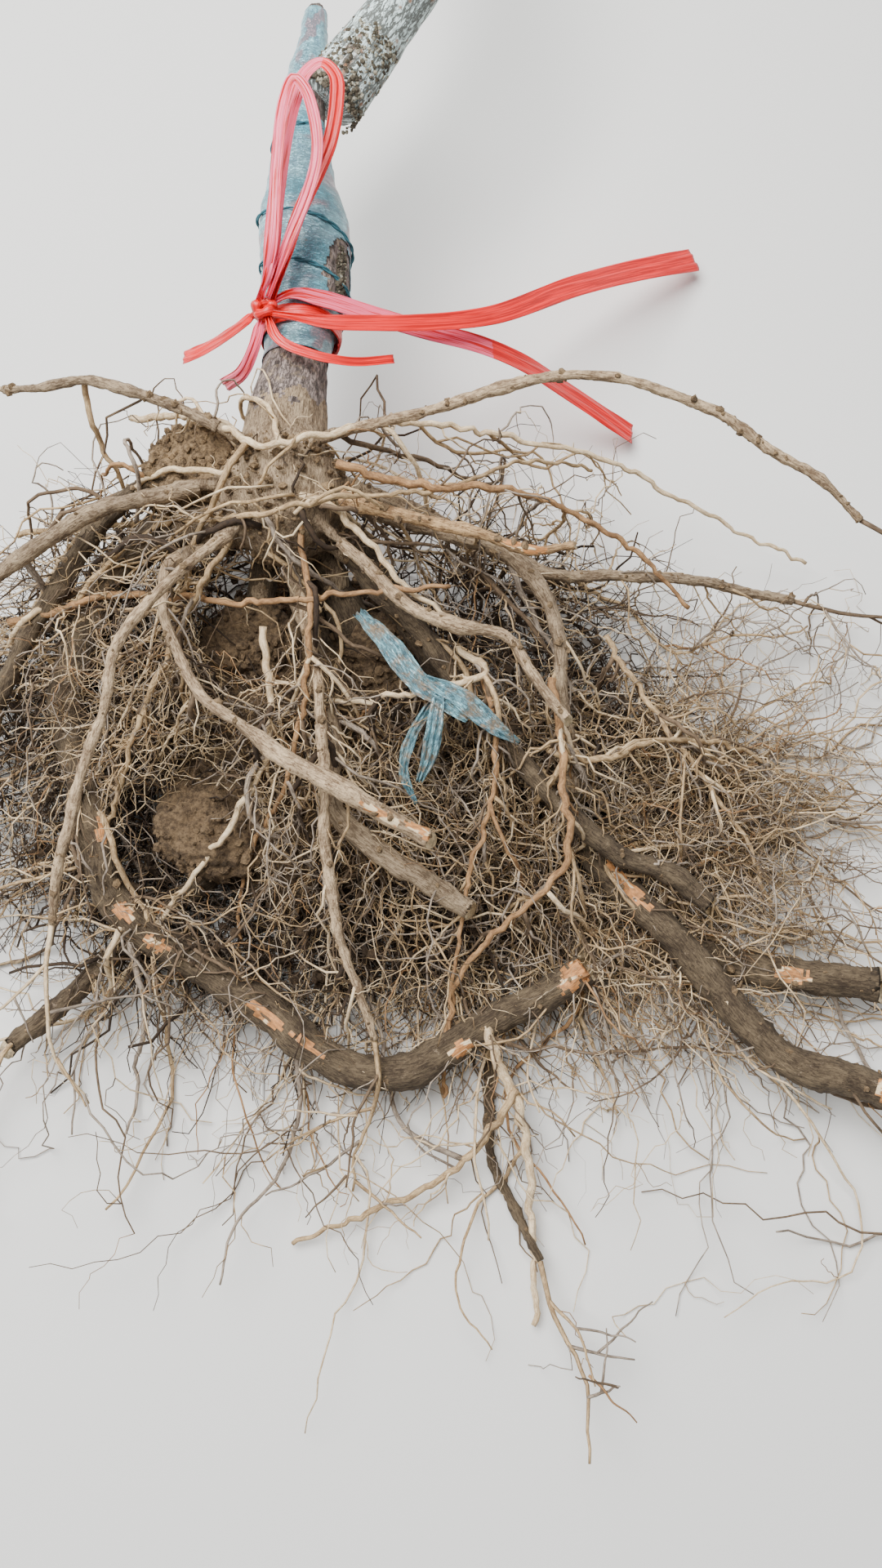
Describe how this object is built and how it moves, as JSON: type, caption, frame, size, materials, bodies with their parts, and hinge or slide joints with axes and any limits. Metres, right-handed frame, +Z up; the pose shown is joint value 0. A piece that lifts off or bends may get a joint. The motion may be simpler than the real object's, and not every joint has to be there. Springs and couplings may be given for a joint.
{
  "type": "bare-root grafted fruit tree sapling",
  "caption": "Dormant grafted sapling lifted with bare spreading roots and a little soil, film round the graft, ribbon tied at its foot, lying on its side.",
  "frame": {"origin": "on the ground, under the middle of the box that holds the whole lying plant", "axes": "+Y along the plant from its roots to its crown, +Z up from the ground, +X to the right seen from the roots"},
  "size_m": [0.8342, 2.5516, 0.4698],
  "materials": {
    "rootstock_bark": "rough grey-brown bark with soil in its cracks",
    "scion_bark": "silvery cracked bark over brown, with pale dots",
    "twigs": "smooth brown one-year shoots with pale dots and buds",
    "root_bark": "rough tan root bark, dusted with soil, with pale cut ends",
    "fine_roots": "matt thin wiry roots",
    "grafting_film": "thin stretched film in wound layers, dusty",
    "soil": "crumbly damp ochre-brown soil",
    "ribbon": "thin red and pink plastic band with lengthwise creases"
  },
  "bodies": {
    "root": {"trunk": "rootstock_bark", "graft_wrap": "grafting_film", "scion": "scion_bark", "bough_1": "scion_bark", "bough_2": "scion_bark", "bough_3": "scion_bark", "bough_4": "scion_bark", "bough_5": "scion_bark", "twigs_1": "twigs", "twigs_2": "twigs", "twigs_3": "twigs", "twigs_4": "twigs", "twigs_5": "twigs", "twigs_leader": "twigs", "root_low_left": "root_bark", "root_low_front": "root_bark", "root_arc_right_base": "root_bark", "root_arc_right_end": "root_bark", "root_low_right": "root_bark", "root_arc_left_base": "root_bark", "root_arc_left_middle": "root_bark", "root_arc_left_end": "root_bark", "root_left": "root_bark", "root_right_far": "root_bark", "root_right_low_cut": "root_bark", "root_stub": "root_bark", "root_right_down": "root_bark", "root_down": "root_bark", "root_left_thin": "root_bark", "root_hook_base": "root_bark", "root_hook_end": "root_bark", "root_fork_right": "root_bark", "root_right_cut": "root_bark", "root_over_left": "root_bark", "root_over_right": "root_bark", "root_rise": "root_bark", "fibres_right_far": "fine_roots", "fibres_left": "fine_roots", "fibres_left_thin": "fine_roots", "fibres_over_right": "fine_roots", "fibres_over_left": "fine_roots", "fibres_low_front": "fine_roots", "fibres_low_right": "fine_roots", "fibres_low_left": "fine_roots", "fibres_down": "fine_roots", "fibres_rise": "fine_roots", "fibres_arc_right": "fine_roots", "fibres_foot_right": "fine_roots", "fibres_foot_left": "fine_roots", "soil_core": "soil", "soil_clod": "soil", "ribbon_band": "ribbon", "ribbon_knot": "ribbon", "ribbon_loop_outer": "ribbon", "ribbon_loop_inner": "ribbon", "ribbon_tail_long": "ribbon", "ribbon_tail_low": "ribbon", "ribbon_end_left": "ribbon", "ribbon_end_front": "ribbon", "ribbon_end_small": "ribbon"}
  },
  "joints": []
}
